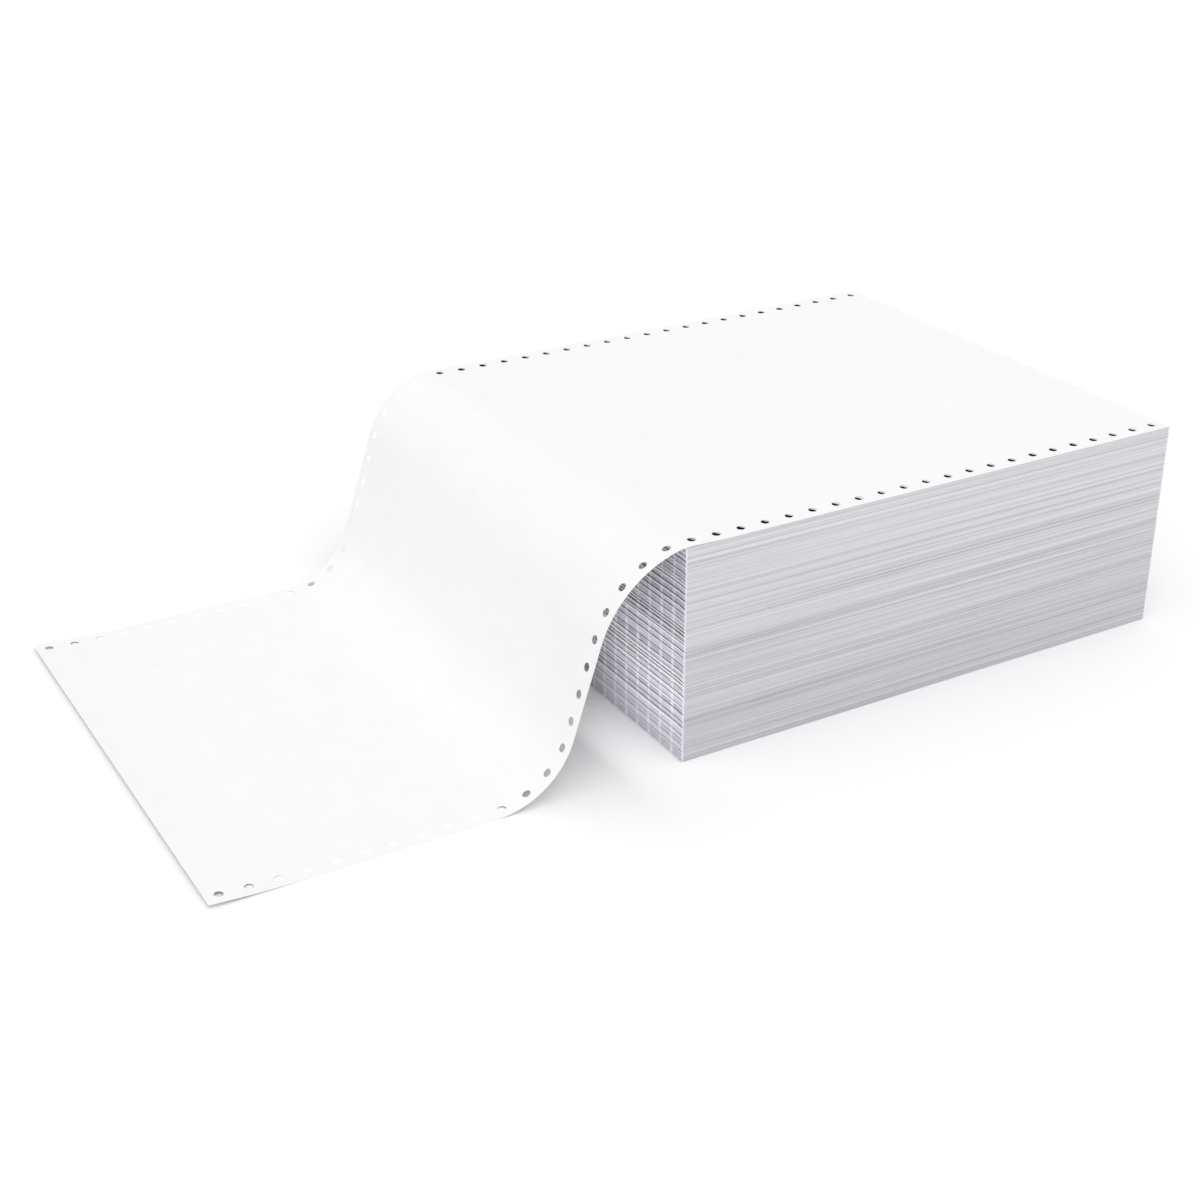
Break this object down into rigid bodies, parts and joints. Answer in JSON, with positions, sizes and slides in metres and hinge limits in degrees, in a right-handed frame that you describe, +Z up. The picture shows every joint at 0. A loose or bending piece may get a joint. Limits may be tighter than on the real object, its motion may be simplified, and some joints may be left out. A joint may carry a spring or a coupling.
{
  "type": "continuous form paper stack",
  "caption": "Fan-folded stack of blank continuous form paper with sprocket holes along both edges; its top form hangs over one fold end and lies down in front of it",
  "frame": {"origin": "centre of the folded stack's base, on the surface that it stands on", "axes": "+X along the feed, away from the end over which the lead sheet hangs; Y across the forms; +Z up"},
  "size_m": [0.4994, 0.254, 0.105],
  "materials": {
    "paper": "matt uncoated white paper"
  },
  "bodies": {
    "root": {"fanfold_web": "paper"}
  },
  "joints": []
}
